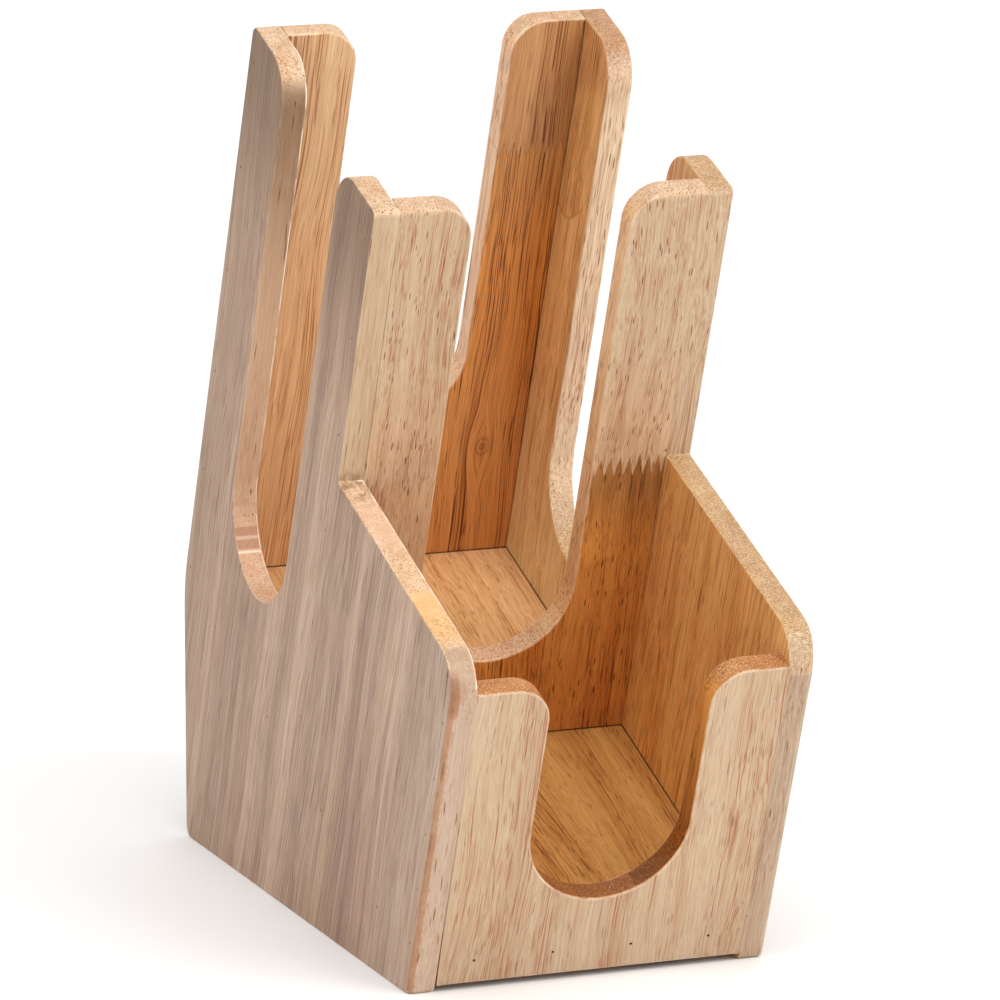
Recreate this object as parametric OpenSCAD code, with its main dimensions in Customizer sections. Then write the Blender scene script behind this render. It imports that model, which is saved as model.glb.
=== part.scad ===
// Leaning two-compartment organizer of glued and pinned wooden boards.
// Every board is drawn upright in the body frame: X across, Y from front to back, Z up the walls.
// stand() then leans the whole body forward onto its sloping base edges.

/* [Body] */
// Width over the two side panels
body_w = 140; // [120:1:170]
// Thickness of every board
board_t = 10; // [8:0.5:12]
// Front-to-back depth of each compartment
cell_d = 118; // [100:1:140]
// Angle by which the walls lean forward of upright
lean_angle = 20.5; // [15:0.5:24]

/* [Heights up the walls] */
// Top of the front panel
front_h = 126; // [115:1:132]
// Top of the side panels beside the front compartment
side_front_h = 137; // [134:1:150]
// Top of the divider and of the side posts beside it
mid_h = 250; // [220:1:255]
// Top of the back panel and of the rear side posts
rear_h = 253; // [240:1:290]
// Top face of the floor
floor_top = 17; // [14:0.5:20]
// How far the side panels reach below the front panel at the front
base_drop = 2.5; // [1:0.5:6]

/* [Finger slots] */
// Width of every finger slot
slot_w = 62; // [50:1:70]
// Lowest point of the front panel's slot
front_slot_z = 32; // [28:1:45]
// Lowest point of the divider's slot
divider_slot_z = 52; // [40:1:70]
// Lowest point of the side panels' slots
side_slot_z = 46.5; // [40:0.5:70]
// Lowest point of the back panel's slot
back_slot_z = 79; // [60:1:100]

/* [Corners] */
// Radius of the side panels' upper corners
side_corner_r = 16; // [10:1:18]
// Radius of the slots' upper corners in the front, divider and back panels
slot_corner_r = 14; // [8:1:18]
// Radius of the side panels' post corner above the notch and of their front foot
small_corner_r = 3; // [2:0.5:4]
// Radius of the side panels' upper rear corner
rear_top_r = 4; // [2:0.5:8]
// Radius of the side panels' rear foot
rear_foot_r = 5; // [2:0.5:8]
// Radius that blends the rear edge into the rear foot
rear_blend_r = 60; // [20:5:70]
// Width of the open joint at the foot of the front panel's left end
open_joint = 0.7; // [0.2:0.1:1]

/* [Pins] */
// Diameter of the headless pins
pin_d = 1.1; // [0.8:0.1:1.6]
// Length of the headless pins
pin_len = 25; // [20:1:30]
// Depth of a pin's end below the face that it was driven through
pin_sink = 1; // [0.5:0.1:2]
// Distance from the end of a joint to its last pin
pin_margin = 14; // [12:1:18]
// Height of the floor's pins above its underside
floor_pin_rise = 3; // [2:0.5:5]
// Pins through each side panel into the front panel
front_pins = 5; // [3:1:6]
// Pins through each side panel into the divider
divider_pins = 6; // [3:1:8]
// Pins through each side panel into the back panel
back_pins = 6; // [3:1:8]
// Pins through each side panel into the floor
floor_pins = 4; // [3:1:6]
// Pins through the front panel into the floor
front_floor_pins = 4; // [2:1:5]

/* [Hidden] */

$fn = 96;
over = 1;
pin_clearance = 0.02;
arc_bulge = 0.01;

// Places along the body's depth
inner_w = body_w - 2 * board_t;
divider_y = board_t + cell_d;
back_y = divider_y + board_t + cell_d;
body_d = back_y + board_t;
side_slot_y = (divider_y + board_t + back_y) / 2;
floor_bottom = floor_top - board_t;

// Standing frame: y and z of a point after the body leans forward
function lean(p) = [
    p[0] * cos(lean_angle) - p[1] * sin(lean_angle),
    p[0] * sin(lean_angle) + p[1] * cos(lean_angle)
];
function unlean(p) = [
    p[0] * cos(lean_angle) + p[1] * sin(lean_angle),
    p[1] * cos(lean_angle) - p[0] * sin(lean_angle)
];

// Feet: the base edge is level and the rear foot edge is upright once the body leans
front_foot = [0, -base_drop];
rear_kink = [body_d, floor_bottom];
rear_foot = unlean([lean(rear_kink)[0], lean(front_foot)[1]]);

// Upper corners of the side panels
front_top = [0, side_front_h];
notch = [divider_y, side_front_h];
post_top = [divider_y, mid_h];
rear_top = [body_d, rear_h];

// The box around the leaning body, which sets the origin at the middle of its bottom
shoulder_centre = lean([side_corner_r, side_front_h - side_corner_r]);
front_most = min(shoulder_centre[0] - side_corner_r, lean([0, front_h])[0]);
rear_most = lean(rear_kink)[0];
stand_shift = [-body_w / 2, -(front_most + rear_most) / 2, -lean(front_foot)[1]];

// Rows of pins: first and last place along each joint
front_pin_span = [floor_top, front_h - pin_margin];
divider_pin_span = [floor_top + pin_margin, mid_h - pin_margin];
back_pin_span = [floor_top, rear_h - pin_margin];
floor_pin_span = [board_t + 2 * pin_margin, back_y - 2 * pin_margin];
cross_pin_span = [board_t + pin_margin, body_w - board_t - pin_margin];
floor_pin_z = floor_bottom + floor_pin_rise;

module stand() {
    translate(stand_shift) rotate([lean_angle, 0, 0]) children();
}

// Unit vector from one point to another
function toward(from, to) = (to - from) / norm(to - from);

// The scrap between a sharp corner and an arc that meets both of its edges.
// The arc stands arc_bulge past tangent, so it crosses each edge at one clear point.
module corner_scrap(corner, before, after, r) {
    u = toward(corner, before);
    v = toward(corner, after);
    half = acos(u * v) / 2;
    bisector = toward([0, 0], u + v);
    depth = r / sin(half) - arc_bulge;
    centre = corner + bisector * depth;
    touch_u = corner + u * depth * cos(half);
    touch_v = corner + v * depth * cos(half);
    difference() {
        polygon([
            corner - bisector * over, touch_u - toward(touch_u, centre) * over,
            centre, touch_v - toward(touch_v, centre) * over
        ]);
        translate(centre) circle(r);
    }
}

// A slot open at the top: straight sides, a half-round bottom and rounded upper corners
module slot(centre_x, bottom, left_top, right_top, corner_r) {
    r = slot_w / 2;
    top = max(left_top, right_top);
    translate([centre_x, bottom + r]) circle(r);
    translate([centre_x - r, bottom + r]) square([slot_w, top - bottom - r + over]);
    corner_scrap([centre_x - r, left_top], [centre_x - slot_w, left_top], [centre_x - r, bottom], corner_r);
    corner_scrap([centre_x + r, right_top], [centre_x + slot_w, right_top], [centre_x + r, bottom], corner_r);
}

// Outer corners that the side panels share with the boards between them
module divider_top_scrap() {
    corner_scrap(post_top, notch, [side_slot_y, mid_h], small_corner_r);
}

module rear_scraps() {
    corner_scrap(rear_top, [side_slot_y, rear_h], rear_kink, rear_top_r);
    corner_scrap(rear_kink, rear_top, rear_foot, rear_blend_r);
}

module side_outline() {
    difference() {
        polygon([
            front_foot, front_top, notch, post_top, [side_slot_y, mid_h], [side_slot_y, rear_h],
            rear_top, rear_kink, rear_foot
        ]);
        slot(side_slot_y, side_slot_z, mid_h, rear_h, side_corner_r);
        corner_scrap(front_top, front_foot, notch, side_corner_r);
        divider_top_scrap();
        rear_scraps();
        corner_scrap(rear_foot, rear_kink, front_foot, rear_foot_r);
        corner_scrap(front_foot, rear_foot, front_top, small_corner_r);
    }
}

// Carries an outline in y and z across the body
module across(width) {
    rotate([90, 0, 90]) linear_extrude(width) children();
}

module side_board() {
    across(board_t) side_outline();
}

// A cross board between the side panels, its outline drawn across and up the wall
module cross_board(y) {
    translate([board_t, y + board_t, 0]) rotate([90, 0, 0]) linear_extrude(board_t) children();
}

module cross_outline(bottom, top, slot_z) {
    difference() {
        translate([0, bottom]) square([inner_w, top - bottom]);
        slot(inner_w / 2, slot_z, top, top, slot_corner_r);
    }
}

// One place along a row of count places over a span
function row_place(span, count, i) = span[0] + (span[1] - span[0]) * i / (count - 1);

// Pins or their holes, driven across through the left side panel at points in y and z
module left_pins_at(y_span, z_span, count, d, start, length) {
    for (i = [0 : count - 1])
        translate([start, row_place(y_span, count, i), row_place(z_span, count, i)])
            rotate([0, 90, 0]) cylinder(h = length, d = d);
}

module left_front_set(d, start, length) {
    y = board_t / 2;
    left_pins_at([y, y], front_pin_span, front_pins, d, start, length);
}

module left_divider_set(d, start, length) {
    y = divider_y + board_t / 2;
    left_pins_at([y, y], divider_pin_span, divider_pins, d, start, length);
}

module left_back_set(d, start, length) {
    y = back_y + board_t / 2;
    left_pins_at([y, y], back_pin_span, back_pins, d, start, length);
}

module left_floor_set(d, start, length) {
    left_pins_at(floor_pin_span, [floor_pin_z, floor_pin_z], floor_pins, d, start, length);
}

// Pins or their holes, driven back through the front panel into the floor
module front_floor_set(d, start, length) {
    for (i = [0 : front_floor_pins - 1])
        translate([row_place(cross_pin_span, front_floor_pins, i), start, floor_pin_z])
            rotate([-90, 0, 0]) cylinder(h = length, d = d);
}

module on_the_right() {
    translate([body_w, 0, 0]) mirror([1, 0, 0]) children();
}

hole_d = pin_d + 2 * pin_clearance;
hole_len = pin_sink + pin_len + over;

module side_holes() {
    left_front_set(hole_d, -over, hole_len + over);
    left_divider_set(hole_d, -over, hole_len + over);
    left_back_set(hole_d, -over, hole_len + over);
    left_floor_set(hole_d, -over, hole_len + over);
}

module both_sides_holes() {
    side_holes();
    on_the_right() side_holes();
}

module left_side_panel() {
    color("BurlyWood") stand() difference() {
        side_board();
        side_holes();
    }
}

module right_side_panel() {
    color("BurlyWood") stand() on_the_right() difference() {
        side_board();
        side_holes();
    }
}

// The sliver missing from the foot of the front panel's left end
module open_joint_wedge() {
    polygon([[-over, -over], [open_joint, -over], [open_joint, 0], [0, front_slot_z], [-over, front_slot_z]]);
}

module front_panel() {
    color("Wheat") stand() difference() {
        cross_board(0) difference() {
            cross_outline(0, front_h, front_slot_z);
            open_joint_wedge();
        }
        both_sides_holes();
        front_floor_set(hole_d, -over, hole_len + over);
    }
}

module divider_panel() {
    color("Tan") stand() difference() {
        cross_board(divider_y) cross_outline(floor_top, mid_h, divider_slot_z);
        across(body_w) divider_top_scrap();
        both_sides_holes();
    }
}

module back_panel() {
    color("Peru") stand() difference() {
        cross_board(back_y) cross_outline(floor_bottom, rear_h, back_slot_z);
        across(body_w) rear_scraps();
        both_sides_holes();
    }
}

module floor_board() {
    color("SandyBrown") stand() difference() {
        translate([board_t, board_t, floor_bottom]) cube([inner_w, back_y - board_t, board_t]);
        both_sides_holes();
        front_floor_set(hole_d, -over, hole_len + over);
    }
}

module left_front_pins() {
    color("DimGray") stand() left_front_set(pin_d, pin_sink, pin_len);
}

module left_divider_pins() {
    color("DimGray") stand() left_divider_set(pin_d, pin_sink, pin_len);
}

module left_back_pins() {
    color("DimGray") stand() left_back_set(pin_d, pin_sink, pin_len);
}

module left_floor_pins() {
    color("DimGray") stand() left_floor_set(pin_d, pin_sink, pin_len);
}

module right_front_pins() {
    color("DimGray") stand() on_the_right() left_front_set(pin_d, pin_sink, pin_len);
}

module right_divider_pins() {
    color("DimGray") stand() on_the_right() left_divider_set(pin_d, pin_sink, pin_len);
}

module right_back_pins() {
    color("DimGray") stand() on_the_right() left_back_set(pin_d, pin_sink, pin_len);
}

module right_floor_pins() {
    color("DimGray") stand() on_the_right() left_floor_set(pin_d, pin_sink, pin_len);
}

module front_floor_pins_row() {
    color("DimGray") stand() front_floor_set(pin_d, pin_sink, pin_len);
}

left_side_panel();
right_side_panel();
front_panel();
divider_panel();
back_panel();
floor_board();
left_front_pins();
left_divider_pins();
left_back_pins();
left_floor_pins();
right_front_pins();
right_divider_pins();
right_back_pins();
right_floor_pins();
front_floor_pins_row();
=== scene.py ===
"""Looks, light and camera for the leaning wooden cup and lid organizer."""

import math

import bpy
from mathutils import Euler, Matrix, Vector


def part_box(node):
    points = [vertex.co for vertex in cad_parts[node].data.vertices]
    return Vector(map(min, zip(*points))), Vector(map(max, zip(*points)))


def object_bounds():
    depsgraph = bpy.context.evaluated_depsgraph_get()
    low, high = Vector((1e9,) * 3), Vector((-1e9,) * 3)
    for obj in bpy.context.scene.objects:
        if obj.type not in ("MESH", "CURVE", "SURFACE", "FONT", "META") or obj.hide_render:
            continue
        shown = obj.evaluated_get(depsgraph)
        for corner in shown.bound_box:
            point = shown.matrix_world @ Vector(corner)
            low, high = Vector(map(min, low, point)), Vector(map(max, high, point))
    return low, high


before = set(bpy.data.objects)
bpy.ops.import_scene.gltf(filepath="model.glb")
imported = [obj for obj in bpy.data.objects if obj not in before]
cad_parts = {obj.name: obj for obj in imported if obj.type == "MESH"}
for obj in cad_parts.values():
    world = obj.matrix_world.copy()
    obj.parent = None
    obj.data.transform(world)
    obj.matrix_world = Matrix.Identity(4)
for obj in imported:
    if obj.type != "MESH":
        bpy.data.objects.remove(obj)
cad_low, cad_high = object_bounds()

# ---------------------------------------------------------------- driving values, in millimetres
BODY_W = 140.0
BOARD_T = 10.0
CELL_D = 118.0
LEAN = math.radians(20.5)
FRONT_H = 126.0
SIDE_FRONT_H = 137.0
MID_H = 250.0
REAR_H = 253.0
FLOOR_TOP = 17.0
FLOOR_BOTTOM = FLOOR_TOP - BOARD_T
INNER_RIGHT = BODY_W - BOARD_T
DIVIDER_Y = BOARD_T + CELL_D
BACK_Y = DIVIDER_Y + BOARD_T + CELL_D
BODY_D = BACK_Y + BOARD_T

MM = 0.001


def lean(y, z):
    """Standing y and z, in millimetres, of a point of the upright body."""
    return y * math.cos(LEAN) - z * math.sin(LEAN), y * math.sin(LEAN) + z * math.cos(LEAN)


# The body frame's origin in the row frame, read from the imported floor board's box
floor_low, floor_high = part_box("floor_board")
low_y = lean(BOARD_T, FLOOR_TOP)[0]
low_z = lean(BOARD_T, FLOOR_BOTTOM)[1]
SHIFT = Vector((-BODY_W / 2 * MM, floor_low.y - low_y * MM, floor_low.z - low_z * MM))


def standing(x, y, z):
    """Row-frame point, in metres, of a point of the upright body in millimetres."""
    a, b = lean(y, z)
    return Vector((x * MM, a * MM, b * MM)) + SHIFT


# ---------------------------------------------------------------- node graph helper
class Graph:
    """Builds a node tree from plain calls. An argument may be a socket, a number or a tuple."""

    def __init__(self, tree):
        self.tree = tree

    def node(self, kind, **props):
        n = self.tree.nodes.new(kind)
        for key, value in props.items():
            setattr(n, key, value)
        return n

    def put(self, socket, value):
        if isinstance(value, bpy.types.NodeSocket):
            self.tree.links.new(value, socket)
        else:
            socket.default_value = value

    def math(self, op, *values):
        n = self.node("ShaderNodeMath", operation=op)
        for socket, value in zip(n.inputs, values):
            self.put(socket, value)
        return n.outputs[0]

    def add(self, *terms):
        out = terms[0]
        for term in terms[1:]:
            out = self.math("ADD", out, term)
        return out

    def mul(self, a, b):
        return self.math("MULTIPLY", a, b)

    def least(self, a, b):
        return self.math("MINIMUM", a, b)

    def most(self, a, b):
        return self.math("MAXIMUM", a, b)

    def absolute(self, a):
        return self.math("ABSOLUTE", a)

    def above(self, a, edge):
        return self.math("GREATER_THAN", a, edge)

    def ramp(self, value, start, end, low=0.0, high=1.0, kind="LINEAR"):
        """low up to start, high from end on, and a slope between."""
        n = self.node("ShaderNodeMapRange", interpolation_type=kind)
        names = ("Value", "From Min", "From Max", "To Min", "To Max")
        for name, v in zip(names, (value, start, end, low, high)):
            self.put(n.inputs[name], v)
        return n.outputs[0]

    def ease(self, value, start, end, low=0.0, high=1.0):
        return self.ramp(value, start, end, low, high, "SMOOTHSTEP")

    def vec(self, x, y, z):
        n = self.node("ShaderNodeCombineXYZ")
        for socket, value in zip(n.inputs, (x, y, z)):
            self.put(socket, value)
        return n.outputs[0]

    def split(self, v):
        n = self.node("ShaderNodeSeparateXYZ")
        self.put(n.inputs[0], v)
        return n.outputs[0], n.outputs[1], n.outputs[2]

    def vmath(self, op, a, b=(0, 0, 0)):
        n = self.node("ShaderNodeVectorMath", operation=op)
        self.put(n.inputs[0], a)
        self.put(n.inputs[1], b)
        return n.outputs["Value"] if op in ("DOT_PRODUCT", "LENGTH", "DISTANCE") else n.outputs[0]

    def noise(self, v, detail=2.0, rough=0.5, distortion=0.0):
        n = self.node("ShaderNodeTexNoise", noise_dimensions="3D")
        self.put(n.inputs["Vector"], v)
        settings = {"Scale": 1.0, "Detail": detail, "Roughness": rough, "Distortion": distortion}
        for name, value in settings.items():
            n.inputs[name].default_value = value
        return n.outputs[0]

    def cells(self, v):
        """Distance to the nearest cell's centre, and a number of 0 to 1 that is that cell's own."""
        n = self.node("ShaderNodeTexVoronoi", voronoi_dimensions="3D", feature="F1")
        self.put(n.inputs["Vector"], v)
        n.inputs["Scale"].default_value = 1.0
        n.inputs["Randomness"].default_value = 1.0
        return n.outputs["Distance"], self.split(n.outputs["Color"])[0]

    def mix(self, fac, a, b, blend="MIX"):
        n = self.node("ShaderNodeMix", data_type="RGBA", blend_type=blend)
        self.put(n.inputs[0], fac)
        for socket, v in ((n.inputs[6], a), (n.inputs[7], b)):
            self.put(socket, v if isinstance(v, bpy.types.NodeSocket) else (*v, 1.0)[:4])
        return n.outputs[2]

    def mix_all(self, fac, old, new):
        """Two palettes mixed colour by colour."""
        return [self.mix(fac, a, b) for a, b in zip(old, new)]


class GeometryGraph(Graph):
    """A geometry node tree, with the geometry that comes in and the socket where it goes out."""

    def __init__(self, name):
        super().__init__(bpy.data.node_groups.new(name, "GeometryNodeTree"))
        for way in ("INPUT", "OUTPUT"):
            self.tree.interface.new_socket("Geometry", in_out=way, socket_type="NodeSocketGeometry")
        self.start = self.node("NodeGroupInput").outputs[0]
        self.end = self.node("NodeGroupOutput").inputs[0]

    def stored(self, geometry, name, domain, value):
        """That geometry with a number stored on it under a name."""
        n = self.node("GeometryNodeStoreNamedAttribute", data_type="FLOAT", domain=domain)
        n.inputs["Name"].default_value = name
        self.put(n.inputs["Geometry"], geometry)
        self.put(n.inputs["Value"], value)
        return n.outputs[0]

    def shaded_smooth(self, geometry, domain, where):
        n = self.node("GeometryNodeSetShadeSmooth", domain=domain)
        self.put(n.inputs["Geometry"], geometry)
        self.put(n.inputs["Shade Smooth"], where)
        return n.outputs[0]


# ---------------------------------------------------------------- palettes: pale wood, deep wood, lines
CREAM = ((0.587, 0.446, 0.296), (0.500, 0.352, 0.218), (0.380, 0.135, 0.053))
PALE_FRONT = ((0.54, 0.405, 0.30), (0.465, 0.325, 0.225), (0.36, 0.12, 0.04))
CREAM_WARM = ((0.640, 0.440, 0.270), (0.530, 0.330, 0.180), (0.340, 0.115, 0.045))
PALE_EDGE = ((0.84, 0.68, 0.48), (0.74, 0.53, 0.34), (0.42, 0.19, 0.10))
GREY = ((0.615, 0.445, 0.318), (0.430, 0.278, 0.184), (0.205, 0.10, 0.062))
# The left panel's outer face darker towards the top: painted shade
GREY_HIGH_SHADED = ((0.345, 0.218, 0.118), (0.245, 0.138, 0.068), (0.15, 0.068, 0.034))
LEFT_EDGE = ((0.69, 0.49, 0.34), (0.53, 0.33, 0.20), (0.26, 0.085, 0.03))
# The left panel's edges darker towards the top: painted shade
LEFT_EDGE_HIGH_SHADED = ((0.30, 0.19, 0.11), (0.235, 0.125, 0.062), (0.12, 0.04, 0.015))
TAN = ((0.66, 0.42, 0.235), (0.53, 0.29, 0.14), (0.30, 0.10, 0.04))
TAN_EDGE = ((0.92, 0.60, 0.32), (0.80, 0.45, 0.20), (0.42, 0.15, 0.05))
# INNER and the palettes after it, down to the floor's: the inside faces, deeper and warmer than the outer ones,
# partly the wood's own tone and partly painted warm bounce light inside the box
INNER = ((0.98, 0.60, 0.25), (0.80, 0.38, 0.12), (0.30, 0.085, 0.018))
# The inner wall paler and warmer low down, in front of and behind the divider: painted bounce light
INNER_FRONT_BOUNCE_LIT = ((1.0, 0.70, 0.26), (1.0, 0.475, 0.135), (0.34, 0.095, 0.02))
INNER_LOW_BOUNCE_LIT = ((1.0, 0.86, 0.48), (1.0, 0.78, 0.38), (0.50, 0.20, 0.06))
BROWN = ((0.84, 0.385, 0.09), (0.58, 0.195, 0.032), (0.15, 0.035, 0.006))
BROWN_DARK = ((0.50, 0.23, 0.065), (0.24, 0.085, 0.018), (0.06, 0.015, 0.004))
BACK_HIGH = ((0.635, 0.352, 0.152), (0.467, 0.212, 0.067), (0.16, 0.045, 0.012))
BACK_LOW = ((0.88, 0.40, 0.095), (0.62, 0.21, 0.033), (0.12, 0.025, 0.004))
BACK_FOOT = ((0.85, 0.42, 0.14), (0.62, 0.25, 0.065), (0.18, 0.045, 0.010))
BACK_LEFT = ((0.96, 0.66, 0.36), (0.84, 0.50, 0.24), (0.50, 0.22, 0.08))
BACK_LEFT_HIGH = ((0.86, 0.61, 0.36), (0.74, 0.46, 0.24), (0.42, 0.17, 0.07))
BACK_MID = ((0.74, 0.38, 0.125), (0.54, 0.22, 0.05), (0.14, 0.03, 0.006))
BACK_SIDE = ((0.98, 0.68, 0.42), (0.85, 0.52, 0.28), (0.45, 0.17, 0.07))
BACK_EDGE = ((0.72, 0.45, 0.28), (0.60, 0.33, 0.17), (0.30, 0.11, 0.04))
FLOOR = ((0.70, 0.385, 0.118), (0.52, 0.225, 0.05), (0.17, 0.045, 0.010))
# The rear floor paler than the front one: painted light from above
FLOOR_REAR_LIT = ((0.92, 0.60, 0.30), (0.76, 0.42, 0.17), (0.34, 0.12, 0.03))
END = ((0.66, 0.48, 0.32), (0.50, 0.28, 0.14), (0.20, 0.075, 0.035))
END_LEFT = ((0.84, 0.62, 0.42), (0.60, 0.33, 0.15), (0.24, 0.08, 0.03))
# Darker than END, partly painted shade on the tops of the right panel's posts
END_RIGHT = ((0.48, 0.31, 0.18), (0.32, 0.16, 0.07), (0.13, 0.045, 0.018))
END_SLOPE = ((0.44, 0.31, 0.182), (0.335, 0.205, 0.095), (0.13, 0.044, 0.015))
END_FRONT = ((0.42, 0.182, 0.058), (0.285, 0.097, 0.02), (0.115, 0.028, 0.01))

# Colours multiplied over the wood by its fine lines, its fibre and its wavy figure
RIBBON_TINT = (0.74, 0.60, 0.48)
FIBRE_TINT = (0.55, 0.38, 0.26)
FIGURE_TINT = (0.62, 0.49, 0.38)
# Colours of small things: open pores, end grain crumbs, glue lines with painted crevice shade between boards, worn
# edges with a painted highlight, holes, dents
PORE_DARK = (0.035, 0.008, 0.002)
CRUMB_PALE = (0.88, 0.72, 0.54)
SEAM_DARK = (0.045, 0.016, 0.006)
WORN_HIGHLIGHT_PALE = (0.92, 0.79, 0.66)
HOLE_DARK = (0.03, 0.012, 0.006)
DENT_GREY = (0.22, 0.21, 0.22)


# ---------------------------------------------------------------- wood
# Limits are named after the body's axes, each (low, high) or (low, high, softness), in millimetres.
EDGE_SOFTNESS = 0.3


def zone(palette, facing=None, **limits):
    """A palette for part of a board, on the faces that look along an axis, such as -y, or on all of them."""
    return palette, facing, limits


def joint(start, end, place, change=0.0, above=None, centre=0.0, curve=0.0):
    """A finger joint from one place across the board to another, at a place along it. The tone changes past it,
    and so does the palette if one is given. With a curve it is a round-ended joint about its centre."""
    return start, end, place, change, above, centre, curve


def seam(axis, place, reach, strength, **limits):
    """A dark glue line, with painted crevice shade, where another board meets this one."""
    return axis, place, reach, strength, limits


def shade(tint, **limits):
    """A colour multiplied over the wood."""
    return tint, limits


def stripe(colour, strength, speckled=False, **limits):
    """A colour laid over the wood."""
    return colour, strength, speckled, limits


class Wood(Graph):
    """Solid wood whose grain runs along one axis of the body, built up layer by layer."""

    TOOTH_PITCH = 3.85
    BUMP_HEIGHT = 0.00015  # metres
    WIDE_SEAM = 0.8

    def __init__(self, name, axes, seed, palette):
        self.material = bpy.data.materials.new(name)
        self.material.use_nodes = True
        super().__init__(self.material.node_tree)
        self.tree.nodes.clear()
        self.seed = seed
        self.colours = palette
        self.turn_upright()
        self.across, self.through, self.along = (self.parts[axis] for axis in axes)
        facing_across, facing_through, facing_along = (self.absolute(self.normals[axis]) for axis in axes)
        self.facing_through = facing_through
        self.facing_wide = self.ease(facing_through, 0.5, 0.8)
        self.facing_side = self.ease(facing_across, 0.5, 0.85)
        self.endwise = self.ease(facing_along, 0.3, 0.85)

    def turn_upright(self):
        """Object coordinates and normal turned back into the upright body, in millimetres."""
        tex = self.node("ShaderNodeTexCoord")
        moved = self.vmath("SUBTRACT", tex.outputs["Object"], tuple(SHIFT))
        turned = []
        for source, scale in ((moved, 1 / MM), (tex.outputs["Normal"], 1.0)):
            turn = self.node("ShaderNodeMapping", vector_type="POINT")
            self.put(turn.inputs["Vector"], source)
            turn.inputs["Rotation"].default_value = (-LEAN, 0.0, 0.0)
            turn.inputs["Scale"].default_value = (scale, scale, scale)
            turned.append(turn.outputs[0])
        self.body = turned[0]
        self.parts, self.normals = (dict(zip("xyz", self.split(vector))) for vector in turned)

    # Measures and masks
    def within(self, limits):
        """Mask that is 1 between the two places given on each body axis."""
        mask = 1.0
        for axis, (low, high, *softness) in limits.items():
            place = self.parts[axis]
            soft = softness[0] if softness else EDGE_SOFTNESS
            rise = self.ease(place, low - soft, low + soft)
            fall = self.ease(place, high - soft, high + soft, 1.0, 0.0)
            mask = self.mul(mask, self.mul(rise, fall))
        return mask

    def by_face(self, wide, narrow):
        """One value on the board's wide faces and another on its narrow ones."""
        return self.ease(self.facing_side, 0.0, 1.0, wide, narrow)

    def centred(self, *noise):
        return self.add(self.noise(*noise), -0.5)

    def scaled_body(self, *sizes):
        return self.vmath("MULTIPLY", self.body, sizes)

    def stretched(self, across, through, along, shift=0.0):
        """Grain coordinates in steps of those many millimetres, for noise or cells of that size."""
        return self.vec(self.add(self.mul(self.u, 1 / across), shift),
                        self.add(self.mul(self.v, 1 / through), shift),
                        self.mul(self.w, 1 / (along * self.run)))

    def around(self, across, along, reach, squash):
        """Distance from a knot, in its own reach, squashed along the grain."""
        return self.vmath("LENGTH", self.vec(self.mul(self.add(self.across, -across), 1 / reach),
                                             self.mul(self.add(self.along, -along), squash / reach), 0.0))

    # Layers, in the order in which they are laid
    def paint(self, zones):
        for palette, facing, limits in zones:
            mask = self.within(limits)
            if facing:
                sign = -1 if facing[0] == "-" else 1
                mask = self.mul(mask, self.ease(self.mul(self.normals[facing[1]], sign), 0.35, 0.8))
            self.colours = self.mix_all(mask, self.colours, palette)

    def teeth(self, across, reach, ragged):
        """How far the fingers of a joint reach along the board, evenly or raggedly."""
        clear_of_zero = 100.0
        tooth = self.math("PINGPONG", self.add(across, clear_of_zero), self.TOOTH_PITCH / 2)
        tooth = self.mul(self.add(tooth, -self.TOOTH_PITCH / 4), reach * 4 / self.TOOTH_PITCH)
        if ragged:
            at = (self.mul(self.across, 1 / 1.3), self.mul(self.through, 1 / 1.3), self.mul(self.along, 1 / 30))
            tooth = self.add(tooth, self.mul(self.centred(self.vec(*at), 1.0), ragged))
        return tooth

    def lay_staves(self, cuts, joints, teeth_on, teeth_reach, ragged):
        """Glue lines and finger joints, which shift the tone and start a new piece of wood."""
        piece = level = glue = 0.0
        for place, change in cuts:
            beyond = self.above(self.across, place)
            piece = self.add(piece, beyond)
            level = self.add(level, self.mul(beyond, change))
            away = self.absolute(self.add(self.across, -place))
            glue = self.most(glue, self.ease(away, 0.05, 0.3, 0.5, 0.0))
        blur = 0.15 + ragged / 14
        for start, end, place, change, above, centre, curve in joints:
            inside = self.mul(self.above(self.across, start), self.math("LESS_THAN", self.across, end))
            if curve:
                out_of = self.add(self.across, -centre)
                offset = self.add(self.along, -place, self.mul(self.mul(out_of, out_of), -curve))
                inside = self.mul(inside, self.facing_wide)
            else:
                teeth_across = self.across if teeth_on == "across" else self.through
                offset = self.add(self.along, self.teeth(teeth_across, teeth_reach, ragged), -place)
            beyond = self.mul(inside, self.ease(offset, -blur, blur))
            glue = self.most(glue, self.mul(inside, self.ease(self.absolute(offset), 0.1, 1.1, 1.0, 0.0)))
            piece = self.add(piece, self.mul(self.mul(inside, self.above(offset, 0.0)), 3.7))
            level = self.add(level, self.mul(beyond, change))
            if above:
                self.colours = self.mix_all(beyond, self.colours, above)
        self.piece, self.level, self.glue = piece, level, glue

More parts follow.
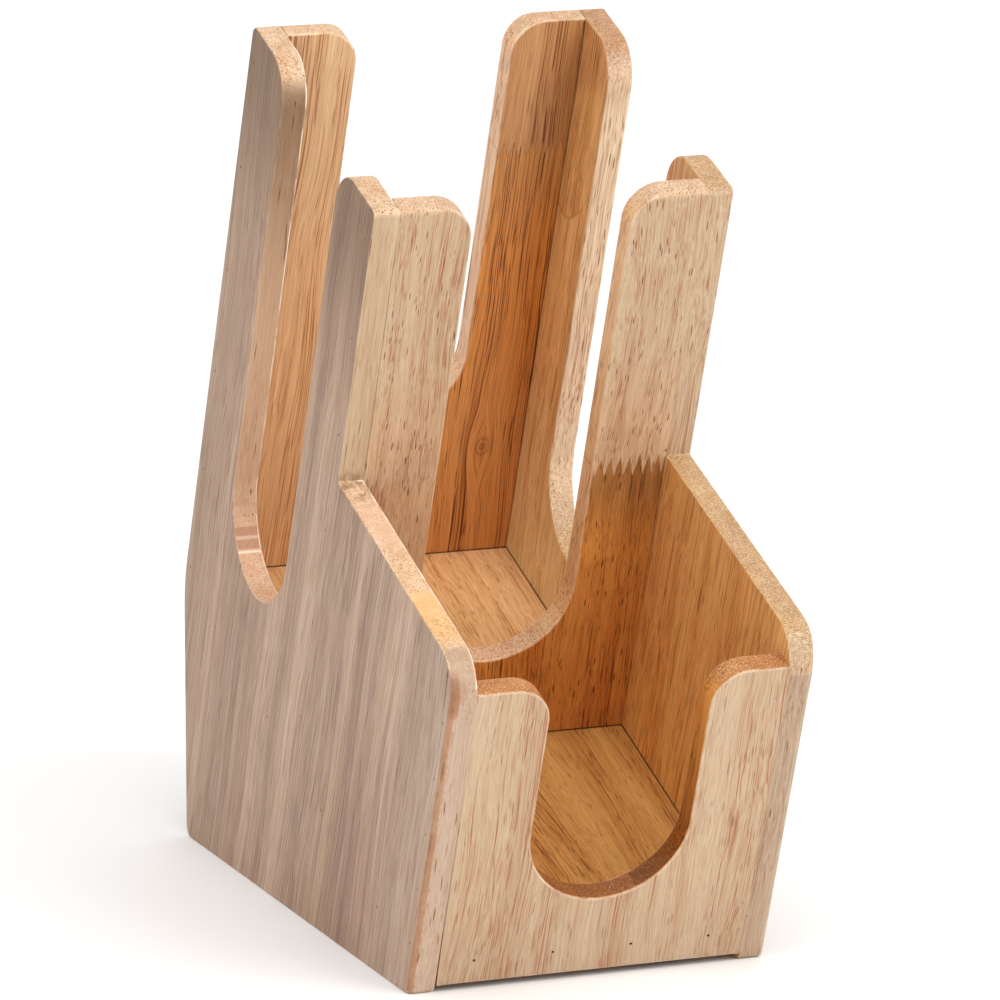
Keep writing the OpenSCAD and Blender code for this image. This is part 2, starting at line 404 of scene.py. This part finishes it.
    def run_grain(self, run, knots):
        """Grain coordinates, which sway slowly so that no line is ruled straight, and part round each knot."""
        self.run = run
        jump = self.mul(self.piece, 37.3)
        slowly = self.vec(self.mul(self.across, 1 / 38), self.mul(self.through, 1 / 38),
                          self.add(self.mul(self.along, 1 / 85), self.seed, jump))
        self.flutter = self.centred(self.vmath("MULTIPLY", slowly, (2.7, 2.7, 3.4)), 0.0)
        bend = self.add(self.mul(self.centred(slowly, 0.0), 9.0), self.mul(self.flutter, 0.9))
        for across, along, reach in knots:
            near = self.around(across, along, reach, 0.45)
            push = self.mul(self.ease(near, 0.2, 2.4, 1.0, 0.0), self.math("SIGN", self.add(self.across, -across)))
            bend = self.add(bend, self.mul(push, -reach))
        self.u = self.add(self.across, bend, jump, self.seed * 13.1)
        self.v = self.add(self.through, self.mul(self.flutter, 4.0 / run), self.mul(jump, 0.7), self.seed * 5.7)
        self.w = self.add(self.along, self.mul(jump, 5.0), self.seed * 71.0)

    def tone(self, band, streaks, edge_lines):
        """Pale and deep wood in slow changes, bands and streaks."""
        self.slow = self.centred(self.stretched(24, 24, 170), 1.0)
        self.bands = self.centred(self.stretched(band, 8, 190, 11.0), 2.0, 0.6)
        streak = self.centred(self.stretched(1.05, 1.6, 70, 7.0), 2.0, 0.6)
        streak = self.mul(streak, self.by_face(streaks, streaks * edge_lines))
        level = self.add(self.level, 0.45, self.mul(self.slow, 1.3), self.mul(self.bands, 1.5), streak)
        pale, deep, _ = self.colours
        self.colour = self.mix(self.least(self.most(level, 0.0), 1.0), pale, deep)

    def draw_lines(self, lines, ribbon, edge_lines, fibre):
        """Reddish-brown lines along the grain, gathered in bands, then fine even lines, then the fibre."""
        gather = self.mul(self.ease(self.add(self.bands, self.mul(self.slow, 0.6)), -0.12, 0.16), 0.6)
        self.fine = self.noise(self.stretched(0.38, 0.60, 19, 5.0), 1.0, 0.5)
        long = self.noise(self.stretched(0.55, 0.9, 58, 9.0), 1.0, 0.5)
        drawn = self.add(self.mul(self.ease(self.fine, 0.56, 0.67), self.add(gather, 0.25)),
                         self.mul(self.ease(long, 0.575, 0.65), self.add(gather, 0.15)))
        drawn = self.least(self.mul(drawn, self.by_face(lines, lines * edge_lines)), 1.0)
        self.colour = self.mix(drawn, self.colour, self.colours[2])
        even = self.noise(self.stretched(0.42, 0.6, 45, 23.0), 1.0, 0.6)
        even = self.mul(self.ease(even, 0.42, 0.60), self.by_face(ribbon, ribbon * edge_lines))
        self.colour = self.mix(even, self.colour, RIBBON_TINT, "MULTIPLY")
        self.hair = self.noise(self.stretched(0.34, 0.5, 9, 2.0), 1.0, 0.6)
        hairs = self.mul(self.ease(self.hair, 0.36, 0.66), 0.22 * fibre)
        self.colour = self.mix(hairs, self.colour, FIBRE_TINT, "MULTIPLY")

    def open_pores(self, pores, edge_pores):
        """Short dark dashes along the grain, in clumps."""
        clump = self.ease(self.noise(self.stretched(6.0, 6.0, 30, 17.0), 2.0, 0.6), 0.35, 0.50)
        away, chance = self.cells(self.stretched(1.3, 1.3, 10.0))
        big = self.mul(self.mul(self.ease(away, 0.24, 0.13), clump), self.ease(chance, 0.2, 0.55))
        away, chance = self.cells(self.stretched(0.75, 0.75, 6.5, 3.0))
        small = self.mul(self.ease(away, 0.28, 0.10), self.add(self.mul(clump, 0.5), 0.3))
        small = self.mul(small, self.ease(chance, 0.3, 0.8))
        self.dash = self.most(big, self.mul(small, 0.75))
        pore = self.mix(0.396, self.colours[2], PORE_DARK, "MULTIPLY")
        shown = self.mul(self.dash, self.by_face(0.85 * pores, min(1.0, edge_pores * pores)))
        self.colour = self.mix(shown, self.colour, pore)

    def show_end_grain(self, end, end_low):
        """End grain, deeper, mottled and full of pore dots."""
        def coarse(across, through, along):
            return self.vec(self.mul(self.u, 1 / across), self.mul(self.v, 1 / through), self.mul(self.w, 1 / along))

        self.blotch = self.noise(self.vec(self.mul(self.u, 0.16), self.mul(self.v, 0.16),
                                          self.add(self.mul(self.w, 0.16), self.seed)), 3.0, 0.62)
        away, chance = self.cells(coarse(0.75, 1.35, 2.2))
        self.speck = self.mul(self.ease(away, 0.36, 0.20), self.ease(chance, 0.15, 0.4))
        if end_low:
            below, in_front = (self.ease(place, 150, 180, 1.0, 0.0) for place in (self.along, self.across))
            end = self.mix_all(self.most(below, in_front), end, end_low)
        pale, deep, dot = end
        crumb = self.noise(coarse(0.55, 0.75, 1.6), 2.0, 0.65)
        colour = self.mix(self.ease(self.blotch, 0.34, 0.70, 0.0, 0.85), pale, deep)
        colour = self.mix(self.ease(crumb, 0.44, 0.62, 0.0, 0.75), colour, deep)
        colour = self.mix(self.ease(crumb, 0.47, 0.35, 0.0, 0.5), colour, CRUMB_PALE)
        colour = self.mix(self.speck, colour, dot)
        self.colour = self.mix(self.mul(self.endwise, 0.75), self.colour, colour)

    def add_figure(self, strength):
        """Slow waves on the wide faces, here and there."""
        across, through, along = self.u, self.v, self.along
        wave = self.noise(self.vec(self.mul(across, 1 / 4.5), self.mul(through, 1 / 6),
                                   self.add(self.mul(along, 1 / 13), self.seed)), 3.0, 0.62)
        where = self.noise(self.vec(self.mul(across, 1 / 34), self.mul(through, 1 / 30),
                                    self.add(self.mul(along, 1 / 48), self.seed)), 1.0)
        wave = self.mul(self.mul(self.ease(wave, 0.44, 0.66), self.ease(where, 0.44, 0.60)), self.facing_through)
        self.colour = self.mix(self.mul(wave, strength), self.colour, FIGURE_TINT, "MULTIPLY")

    def add_knots(self, knots):
        for across, along, reach in knots:
            near = self.around(across, along, reach, 0.7)
            rings = self.math("SINE", self.mul(self.add(near, self.mul(self.flutter, 0.8)), 13.0))
            mask = self.mul(self.ease(near, 0.35, 1.25, 1.0, 0.0), self.add(self.mul(rings, 0.3), 0.45))
            self.colour = self.mix(self.mul(mask, 0.75), self.colour, self.colours[2])

    def stain(self, patches, spots, shades, stripes):
        """Glue lines between staves, mottled patches, round spots, shades and stripes."""
        self.colour = self.mix(self.mul(self.glue, 0.3), self.colour, self.colours[2])
        mottled = self.ease(self.add(self.blotch, self.mul(self.hair, 0.3)), 0.5, 0.76)
        for place, half_sizes, colour, strength in patches:
            away = [self.mul(self.add(self.parts[axis], -c), 1 / s) for axis, c, s in zip("xyz", place, half_sizes)]
            mask = self.mul(self.ease(self.vmath("LENGTH", self.vec(*away)), 0.35, 1.0, 1.0, 0.0), mottled)
            self.colour = self.mix(self.mul(mask, strength), self.colour, colour)
        for place, radius, colour, strength in spots:
            away = self.vmath("DISTANCE", self.body, place)
            self.colour = self.mix(self.ease(away, radius * 0.45, radius, strength, 0.0), self.colour, colour)
        for tint, limits in shades:
            self.colour = self.mix(self.within(limits), self.colour, tint, "MULTIPLY")
        crumbs = self.ease(self.noise(self.scaled_body(0.95, 0.95, 0.5), 3.0, 0.68, 0.3), 0.51, 0.60)
        for colour, strength, speckled, limits in stripes:
            mask = self.mul(self.within(limits), crumbs if speckled else 1.0)
            self.colour = self.mix(self.mul(mask, strength), self.colour, colour)

    def draw_seams(self, seams):
        """Dark lines where boards meet, glue and painted crevice shade. The wider ones wander a little."""
        wander = self.mul(self.centred(self.scaled_body(0.35, 0.35, 0.35), 2.0), 0.5)
        for axis, place, reach, strength, limits in seams:
            away = self.absolute(self.add(self.parts[axis], wander if reach > self.WIDE_SEAM else 0.0, -place))
            mask = self.mul(self.ease(away, 0.1, reach, 1.0, 0.0), self.within(limits))
            self.colour = self.mix(self.mul(mask, strength), self.colour, SEAM_DARK)

    def wear_and_highlight_edges(self, wear_highlight, wear_highlight_from):
        """Rounded edges a little paler, partly from wear and partly a painted highlight, here more and there less."""
        rub_highlight = self.node("ShaderNodeAttribute", attribute_name="worn_highlight").outputs["Fac"]
        if wear_highlight_from:
            rub_highlight = self.mul(self.ease(self.through, *wear_highlight_from, 0.1, 1.0), rub_highlight)
        unevenly = self.noise(self.scaled_body(0.12, 0.12, 0.12), 2.0)
        rub_highlight = self.mul(rub_highlight, self.ease(unevenly, 0.38, 0.62, wear_highlight * 0.2, wear_highlight))
        # Paler rounded edges: partly real wear, partly a painted highlight
        self.colour = self.mix(rub_highlight, self.colour, self.mix(wear_highlight, self.colours[0], WORN_HIGHLIGHT_PALE))

    def finished(self):
        """The material, with the colour, the roughness and the bumps in place."""
        shader = self.node("ShaderNodeBsdfPrincipled")
        self.put(self.node("ShaderNodeOutputMaterial").inputs[0], shader.outputs[0])
        self.put(shader.inputs["Base Color"], self.colour)
        rough = self.add(0.44, self.mul(self.add(self.hair, -0.5), 0.25), self.mul(self.dash, 0.2),
                         self.mul(self.endwise, 0.12))
        self.put(shader.inputs["Roughness"], rough)
        shader.inputs["IOR"].default_value = 1.45
        height = self.add(self.mul(self.hair, 0.4), self.mul(self.fine, 0.35), self.mul(self.dash, -0.8),
                          self.mul(self.mul(self.endwise, self.speck), -0.4))
        bump = self.node("ShaderNodeBump")
        bump.inputs["Strength"].default_value = 0.7
        bump.inputs["Distance"].default_value = self.BUMP_HEIGHT
        self.put(bump.inputs["Height"], height)
        self.put(shader.inputs["Normal"], bump.outputs[0])
        return self.material


def wood(name, axes, seed, palette, *, zones=(), late_zones=(), cuts=(), joints=(), teeth_on="across",
         teeth_reach=3.1, ragged=0.0, run=1.0, band=6.5, streaks=0.9, lines=1.0, edge_lines=1.0, ribbon=0.3,
         fibre=1.0, pores=1.0, edge_pores=1.5, end=END, end_low=None, figure=0.0, knots=(), patches=(), spots=(),
         shades=(), stripes=(), seams=(), wear_highlight=0.45, wear_highlight_from=None):
    """The wood of one board.

    axes: which body axes are across, through and along the board
    palette: pale, deep and line colour, with zones painted over it and late_zones over the joints too
    cuts: (place across, tone change) of each glue line between staves
    teeth_on, teeth_reach, ragged: which way the fingers of a joint repeat, how far they reach, how uneven
    run: how much longer than usual the grain's lines are; band: the width of the tone bands
    streaks, lines, ribbon, fibre, pores: how strong each is, with ribbon for fine even lines
    edge_lines, edge_pores: how much stronger they are on the narrow faces
    end, end_low: end grain colours, and those low on the board where they differ
    knots: (across, along, reach); patches: (place, half sizes, colour, strength)
    spots: (place, radius, colour, strength); shades, stripes, seams: laid over the wood in turn
    wear_highlight: how pale the rounded edges are, from wear and a painted highlight; wear_highlight_from: the places
    through the board between which that sets in
    """
    board = Wood(name, axes, seed, palette)
    board.paint(zones)
    board.lay_staves(cuts, joints, teeth_on, teeth_reach, ragged)
    board.paint(late_zones)
    board.run_grain(run, knots)
    board.tone(band, streaks, edge_lines)
    board.draw_lines(lines, ribbon, edge_lines, fibre)
    board.open_pores(pores, edge_pores)
    board.show_end_grain(end, end_low)
    if figure:
        board.add_figure(figure)
    board.add_knots(knots)
    board.stain(patches, spots, shades, stripes)
    board.draw_seams(seams)
    board.wear_and_highlight_edges(wear_highlight, wear_highlight_from)
    return board.finished()


# Limits that come back: the left panel's outer face, and its edges just inside the rounding
OUTER_FACE = (-1, 0.3)
SLOT_EDGE = (0.4, 9.4, 0.1)
TOP_EDGE = (0.5, 9.3, 0.15)

looks = {
    "left_side_panel": wood(
        "left_side_wood", "yxz", 1.0, LEFT_EDGE,
        # Painted shade: the edges darker towards the top
        zones=(zone(LEFT_EDGE_HIGH_SHADED, z=(190, 400, 60)),
               zone(GREY, "-x"),
               # Painted shade: the outer face darker towards the top
               zone(GREY_HIGH_SHADED, "-x", z=(200, 400, 45)),
               zone(CREAM, "+y"),
               zone(PALE_FRONT, "-y", y=(-5, 60)),
               zone(CREAM, "-y", y=(100, 135))),
        cuts=((9, 0.12), (39, -0.1), (92, -0.05), (147, 0.12), (216, 0.12), (226, -0.15)),
        run=3.2, band=8.0, streaks=0.7, lines=0.85, edge_lines=0.3, ribbon=0.95, fibre=0.7,
        # The rounded edges paler, most on the inner side: partly wear, partly a painted highlight
        pores=0.6, edge_pores=2.0, end=END_LEFT, figure=0.25, wear_highlight=0.95, wear_highlight_from=(6.5, 8.5),
        # Stains on the top edge, at the divider, half way down and at the front corner
        patches=(((5, 121, 137), (8, 14, 7), (0.20, 0.10, 0.045), 0.85),
                 ((5, 38, 137), (8, 14, 6), (0.50, 0.26, 0.10), 0.6),
                 ((5, 86, 137), (8, 16, 6), (0.60, 0.36, 0.20), 0.5),
                 ((3, 1, 128), (5, 6, 6), (0.34, 0.15, 0.06), 0.55)),
        # A browner front corner, painted shade on its rounding, then broad bands of tone on the outer face, the last
        # of them painted shade that darkens the mid post towards its top
        shades=(shade((0.78, 0.56, 0.38), x=(-2, 1.9, 0.6), y=(-2, 1.9, 0.6), z=(-9, 128, 2)),
                shade((0.87, 0.83, 0.79), x=OUTER_FACE, y=(185, 300, 16)),
                shade((0.90, 0.85, 0.78), x=OUTER_FACE, y=(84, 104, 8), z=(-99, 60, 30)),
                shade((0.83, 0.75, 0.74), x=OUTER_FACE, y=(44, 78, 10), z=(-99, 60, 40)),
                shade((0.94, 0.97, 1.0), x=OUTER_FACE, y=(-5, 36, 10)),
                shade((0.94, 0.89, 0.86), x=OUTER_FACE, y=(100, 170), z=(150, 300, 40))),
        # Bands across the slot's edge, then the sloping top edge, then the front corner
        stripes=(stripe((0.60, 0.34, 0.22), 0.35, x=SLOT_EDGE, y=(180, 240), z=(40, 61, 2)),
                 stripe((0.36, 0.15, 0.075), 0.60, x=SLOT_EDGE, y=(190, 240), z=(53.0, 59.1)),
                 stripe((0.80, 0.58, 0.44), 0.50, x=SLOT_EDGE, y=(190, 240), z=(55.4, 56.4)),
                 stripe((0.98, 0.82, 0.64), 0.75, x=SLOT_EDGE, y=(190, 240), z=(51.9, 52.4, 0.25)),
                 stripe((0.42, 0.18, 0.10), 0.40, True, x=SLOT_EDGE, y=(170, 210), z=(44, 47.2, 0.5)),
                 stripe((0.78, 0.50, 0.36), 0.35, x=TOP_EDGE, y=(84, 116, 5), z=(134, 140)),
                 stripe((0.80, 0.47, 0.18), 0.60, x=TOP_EDGE, y=(20, 52, 4), z=(134, 140)),
                 stripe((0.44, 0.19, 0.07), 0.65, True, x=TOP_EDGE, y=(16, 36, 4), z=(131, 140)),
                 stripe((0.37, 0.26, 0.18), 0.72, x=TOP_EDGE, y=(1, 15, 2), z=(122, 140)),
                 stripe((0.40, 0.18, 0.08), 0.45, True, x=TOP_EDGE, y=(-1, 14, 2), z=(112, 140, 4)),
                 stripe((0.27, 0.105, 0.04), 0.78, x=(0.2, 3.2, 0.7), y=(-1, 9, 1.5), z=(118, 132, 2)),
                 stripe((0.42, 0.15, 0.05), 0.70, True, x=(-2, 2.6, 0.8), y=(-2, 2.6, 0.8), z=(-9, 124, 3))),
        spots=(((4, 125.5, 138), 1.0, HOLE_DARK, 0.8),)),
    "right_side_panel": wood(
        "right_side_wood", "yxz", 2.3, INNER,
        zones=(zone(GREY, "+x"),
               zone(CREAM, "+y"),
               zone(PALE_EDGE, "-y"),
               zone(CREAM, "-y", y=(-5, 150)),
               # The inner face paler low down, behind and in front of the divider: painted bounce light
               zone(INNER_LOW_BOUNCE_LIT, "-x", y=(DIVIDER_Y, 300), z=(-90, 70, 55)),
               zone(INNER_FRONT_BOUNCE_LIT, "-x", y=(-5, DIVIDER_Y), z=(-90, 60, 45))),
        cuts=((38, 0.1), (88, -0.12), (150, 0.1), (214, -0.05)),
        joints=(joint(-20, 9, 39), joint(214, 300, 171.5, change=-0.12, centre=250, curve=0.045)),
        teeth_on="through", run=1.5, edge_lines=0.9, ribbon=0.6, pores=0.7, end=END_RIGHT, end_low=END_SLOPE,
        wear_highlight=0.2,
        # Painted shade on the top of the rear post, then a darker front edge and a warmer inner face in front
        shades=(shade((0.86, 0.80, 0.80), z=(232, 400, 8), y=(200, 300)),
                shade((0.83, 0.825, 0.87), x=(INNER_RIGHT, 141), y=(-1, 1.5), z=(-9, 122)),
                shade((1.0, 0.965, 0.86), x=(120, INNER_RIGHT + 1), y=(8, DIVIDER_Y))),
        seams=(seam("z", FLOOR_TOP, 0.7, 0.8, x=(120, INNER_RIGHT + 0.5)),)),
    "front_panel": wood(
        "front_wood", "xyz", 3.7, BROWN,
        zones=(zone(CREAM, "-y"),),
        cuts=((52, 0.08), (96, -0.05)), run=1.6, lines=1.05, pores=0.7, end=END_FRONT,
        # Painted shade: contact shade at the foot of the front face, then shade on the slot's edge and inner face low
        # down, most of all at its lower right
        shades=(shade((0.93, 0.92, 0.93), y=(-1, 0.5), z=(-50, 30, 25)),
                shade((0.58, 0.48, 0.38), y=(0.8, 20), z=(-50, 70, 25)),
                shade((0.72, 0.66, 0.58), y=(0.8, 20), x=(84, 110), z=(-50, 95, 18))),
        spots=(((126.5, 0, 112.9), 0.9, DENT_GREY, 0.6),
               ((127.5, 0, 23.4), 1.0, DENT_GREY, 0.6),
               ((127.8, 0, 11.3), 1.0, DENT_GREY, 0.6),
               ((129.5, 2, 125), 0.9, HOLE_DARK, 0.8)),
        seams=(seam("z", FLOOR_TOP, 0.5, 0.7, y=(BOARD_T - 0.5, 20)),
               seam("x", BOARD_T, 0.6, 0.7, y=(-1, 1), z=(-99, 70, 30)))),
    "divider_panel": wood(
        "divider_wood", "xyz", 5.2, BROWN,
        zones=(zone(TAN, "-y", x=(0, 46)),
               zone(BROWN_DARK, "-y", x=(98, 140), z=(112, 180, 18))),
        late_zones=(zone(TAN_EDGE, "-x", x=(90, 140)),
                    zone(CREAM, "-y", z=(172, 400, 30))),
        cuts=((46, 0.0), (98, 0.0)),
        joints=(joint(98, 140, 134.0, above=CREAM_WARM), joint(0, 46, 133, change=-0.06, above=CREAM_WARM)),
        teeth_reach=4.2, ragged=4.0, lines=0.9, ribbon=0.35, pores=1.2,
        spots=(((129.8, DIVIDER_Y, 139.5), 0.9, HOLE_DARK, 0.75),),
        seams=(seam("z", FLOOR_TOP, 0.7, 0.85),
               seam("x", INNER_RIGHT, 0.6, 0.5, z=(0, SIDE_FRONT_H)),
               seam("x", BOARD_T, 0.45, 0.6, z=(SIDE_FRONT_H, MID_H - 12, 6)))),
    "back_panel": wood(
        "back_wood", "xyz", 6.4, BACK_LOW,
        zones=(zone(BACK_FOOT, z=(-20, 95, 35)),
               zone(BACK_MID, "-y", x=(98, 140), z=(170, 230, 25)),
               zone(BACK_LEFT, x=(0, 58)),
               zone(BACK_LEFT_HIGH, x=(0, 58), z=(150, 400, 50)),
               zone(BACK_EDGE, "+x"),
               zone(CREAM, "+y")),
        late_zones=(zone(BACK_SIDE, "-x", x=(90, 140)),),
        cuts=((58, 0.1), (100, -0.08)),
        joints=(joint(100, 140, 198, above=BACK_HIGH),),
        run=2.6, lines=1.5, ribbon=0.45, pores=0.55, knots=((113, 65, 4.0),),
        seams=(seam("z", FLOOR_TOP, 0.7, 0.85, y=(250, BACK_Y + 0.5)),
               seam("x", INNER_RIGHT, 0.9, 0.6))),
    "floor_board": wood(
        "floor_wood", "xzy", 8.1, FLOOR,
        # The rear floor paler: painted light from above
        zones=(zone(FLOOR_REAR_LIT, y=(DIVIDER_Y + 5, 300)),),
        cuts=((60, 0.06), (112, -0.06)), lines=0.9, pores=0.65,
        seams=(seam("x", INNER_RIGHT, 0.7, 0.85),
               seam("x", BOARD_T, 0.7, 0.85),
               seam("y", DIVIDER_Y, 0.8, 0.85),
               seam("y", BACK_Y, 0.8, 0.85),
               seam("y", DIVIDER_Y + BOARD_T, 0.7, 0.85))),
}


def pin_metal():
    """Dull steel with a little rust."""
    mat = bpy.data.materials.new("pin_metal")
    mat.use_nodes = True
    g = Graph(mat.node_tree)
    shader = mat.node_tree.nodes["Principled BSDF"]
    place = g.node("ShaderNodeTexCoord").outputs["Object"]
    per_metre = 1800
    rust = g.noise(g.vmath("MULTIPLY", place, (per_metre, per_metre, per_metre)), 3.0, 0.6)
    g.put(shader.inputs["Base Color"], g.mix(g.ease(rust, 0.4, 0.65), (0.10, 0.09, 0.085), (0.07, 0.035, 0.02)))
    g.put(shader.inputs["Roughness"], g.add(0.45, g.mul(rust, 0.3)))
    shader.inputs["Metallic"].default_value = 0.8
    return mat


# ---------------------------------------------------------------- edges: rounded where they are free, sharp at joints
# The low and high corners of each board's block in the upright body
BOARDS = {
    "left_side_panel": ((0, -5, -5), (BOARD_T, BODY_D, REAR_H)),
    "right_side_panel": ((INNER_RIGHT, -5, -5), (BODY_W, BODY_D, REAR_H)),
    "front_panel": ((BOARD_T, 0, 0), (INNER_RIGHT, BOARD_T, FRONT_H)),
    "divider_panel": ((BOARD_T, DIVIDER_Y, FLOOR_TOP), (INNER_RIGHT, DIVIDER_Y + BOARD_T, MID_H)),
    "back_panel": ((BOARD_T, BACK_Y, FLOOR_BOTTOM), (INNER_RIGHT, BODY_D, REAR_H)),
    "floor_board": ((BOARD_T, BOARD_T, FLOOR_BOTTOM), (INNER_RIGHT, BACK_Y, FLOOR_TOP)),
}
PINS = [obj for node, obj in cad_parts.items() if "pins" in node]
CORNER_ROUND = 2.4
EDGE_ROUND = {"left_side_panel": 0.65, "right_side_panel": 0.7, "front_panel": 0.75, "divider_panel": 0.75,
              "back_panel": 0.75, "floor_board": 0.4}
# Distances, in millimetres, from a rounded edge's middle to the next board and to the next pin
BOARD_GAP = 0.9
PIN_GAP = 1.7
# Edges sharper than the first angle are rounded, and those flatter than the second are shaded smooth
SHARP_ANGLE = math.radians(35)
SMOOTH_ANGLE = math.radians(38)
WELD_DISTANCE = 0.000005


def free_edges(board):
    """Weights the sharp edges that touch no other board and no pin, for the bevel that follows."""
    g = GeometryGraph(board + "_free_edges")
    ends = g.node("GeometryNodeInputMeshEdgeVertices")
    middle = g.vmath("MULTIPLY", g.vmath("ADD", ends.outputs["Position 1"], ends.outputs["Position 2"]),
                     (0.5, 0.5, 0.5))

    def clear_of(pieces, gap):
        """Whether the edge's middle is further than the gap from those pieces."""
        joined = g.node("GeometryNodeJoinGeometry")
        for piece in pieces:
            g.put(joined.inputs[0], piece)
        near = g.node("GeometryNodeProximity", target_element="FACES")
        g.put(near.inputs[0], joined.outputs[0])
        g.put(near.inputs["Sample Position"], middle)
        return g.above(near.outputs["Distance"], gap * MM)

    others = []
    for other, (low, high) in BOARDS.items():
        if other != board:
            block = g.node("GeometryNodeMeshCube")
            block.inputs["Size"].default_value = (Vector(high) - Vector(low)) * MM
            leant = g.node("GeometryNodeTransform")
            leant.inputs["Translation"].default_value = standing(*(Vector(high) + Vector(low)) / 2)
            leant.inputs["Rotation"].default_value = Euler((LEAN, 0, 0))
            g.put(leant.inputs["Geometry"], block.outputs["Mesh"])
            others.append(leant.outputs[0])
    pins = []
    for pin in PINS:
        info = g.node("GeometryNodeObjectInfo")
        info.inputs["Object"].default_value = pin
        pins.append(info.outputs["Geometry"])
    sharp = g.above(g.node("GeometryNodeInputMeshEdgeAngle").outputs["Unsigned Angle"], SHARP_ANGLE)

    # The upright outer corners at the front are rounded more than the rest
    deep = Vector((0, math.cos(LEAN), math.sin(LEAN))) / MM
    front = g.ramp(g.vmath("DOT_PRODUCT", g.vmath("SUBTRACT", middle, SHIFT), deep), 0.3, 5.0, 1.0, 0.0)
    outer = g.above(g.absolute(g.split(middle)[0]), (BODY_W / 2 - 0.5) * MM)
    usual = EDGE_ROUND[board] / CORNER_ROUND
    weight = g.math("MULTIPLY_ADD", g.mul(front, outer), 1 - usual, usual)
    for free in (clear_of(others, BOARD_GAP), clear_of(pins, PIN_GAP), sharp):
        weight = g.mul(weight, free)
    g.put(g.end, g.stored(g.start, "bevel_weight_edge", "EDGE", weight))
    return g.tree


def smooth_curves():
    """Marks the faces that the bevel made, for their paler edges of wear and painted highlight, and shades smooth
    across all but hard corners.
    """
    g = GeometryGraph("smooth_curves")
    worn_highlight = g.stored(g.start, "worn_highlight", "FACE", g.node("GeometryNodeInputMaterialIndex").outputs[0])
    back = g.node("GeometryNodeSetMaterialIndex")
    g.put(back.inputs["Geometry"], worn_highlight)
    soft = g.math("LESS_THAN", g.node("GeometryNodeInputMeshEdgeAngle").outputs["Unsigned Angle"], SMOOTH_ANGLE)
    g.put(g.end, g.shaded_smooth(g.shaded_smooth(back.outputs[0], "FACE", True), "EDGE", soft))
    return g.tree


def add_modifier(obj, name, kind, **props):
    modifier = obj.modifiers.new(name, kind)
    for key, value in props.items():
        setattr(modifier, key, value)


def dress(obj, *materials):
    obj.data.materials.clear()
    for material in materials:
        obj.data.materials.append(material)


smooth_tree = smooth_curves()
for board in BOARDS:
    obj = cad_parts[board]
    add_modifier(obj, "weld", "WELD", merge_threshold=WELD_DISTANCE)
    add_modifier(obj, "free_edges", "NODES", node_group=free_edges(board))
    add_modifier(obj, "rounding", "BEVEL", limit_method="WEIGHT", width=CORNER_ROUND * MM, segments=4,
                 use_clamp_overlap=False, loop_slide=False, material=1, miter_outer="MITER_ARC")
    add_modifier(obj, "smooth", "NODES", node_group=smooth_tree)
    add_modifier(obj, "weighted", "WEIGHTED_NORMAL", keep_sharp=True, weight=100)
    # The bevel's faces take the second slot, by which smooth_curves knows them
    dress(obj, looks[board], looks[board])

metal = pin_metal()
for pin in PINS:
    dress(pin, metal)


# ---------------------------------------------------------------- floor, light and camera
def stage_floor(reach, grey, roughness):
    mesh = bpy.data.meshes.new("floor")
    corners = [(-reach, -reach, 0), (reach, -reach, 0), (reach, reach, 0), (-reach, reach, 0)]
    mesh.from_pydata(corners, [], [(0, 1, 2, 3)])
    obj = bpy.data.objects.new("studio_floor", mesh)
    bpy.context.scene.collection.objects.link(obj)
    mat = bpy.data.materials.new("studio_floor")
    mat.use_nodes = True
    shader = mat.node_tree.nodes["Principled BSDF"]
    shader.inputs["Base Color"].default_value = (grey, grey, grey, 1)
    shader.inputs["Roughness"].default_value = roughness
    mesh.materials.append(mat)


def studio_air(brightness):
    world = bpy.data.worlds.new("studio")
    bpy.context.scene.world = world
    world.use_nodes = True
    background = world.node_tree.nodes["Background"]
    background.inputs["Color"].default_value = (1.0, 1.0, 1.0, 1)
    background.inputs["Strength"].default_value = brightness


def soft_light(name, place, aim, side, power, colour):
    data = bpy.data.lights.new(name, "AREA")
    data.shape = "RECTANGLE"
    data.size = data.size_y = side
    data.energy = power
    data.color = colour
    obj = bpy.data.objects.new(name, data)
    obj.location = place
    obj.rotation_euler = (Vector(aim) - Vector(place)).to_track_quat("-Z", "Y").to_euler()
    bpy.context.scene.collection.objects.link(obj)


def photo_camera(target, azimuth, elevation, distance, lens, aside, above):
    """A camera that looks at the target from those angles, set a little aside and above."""
    flat = math.cos(elevation)
    ahead = Vector((-math.sin(azimuth) * flat, math.cos(azimuth) * flat, -math.sin(elevation)))
    right = Vector((math.cos(azimuth), math.sin(azimuth), 0))
    data = bpy.data.cameras.new("camera")
    data.lens = lens
    data.sensor_width = 36.0
    data.clip_end = 50.0
    camera = bpy.data.objects.new("camera", data)
    camera.location = Vector(target) + right * aside + right.cross(ahead) * above - ahead * distance
    camera.rotation_euler = ahead.to_track_quat("-Z", "Y").to_euler()
    bpy.context.scene.collection.objects.link(camera)
    bpy.context.scene.camera = camera


stage_floor(reach=9.0, grey=0.93, roughness=0.9)
studio_air(0.80)
middle = (cad_low + cad_high) / 2
soft_light("key", (1.5, -2.8, 1.9), middle, 1.9, 56, (1.0, 0.985, 0.96))
soft_light("top", (-0.5, -1.5, 3.2), middle, 1.9, 48, (1.0, 0.99, 0.98))
soft_light("backdrop", (1.1, 2.9, 2.0), (1.1, 2.9, 0), 2.5, 12, (1.0, 1.0, 1.0))
photo_camera((0, 0, 0.16), math.radians(-21.466), math.radians(11.932), distance=2.6206, lens=252.94,
             aside=0.00492, above=-0.00232)
bpy.context.scene.view_settings.view_transform = "Standard"
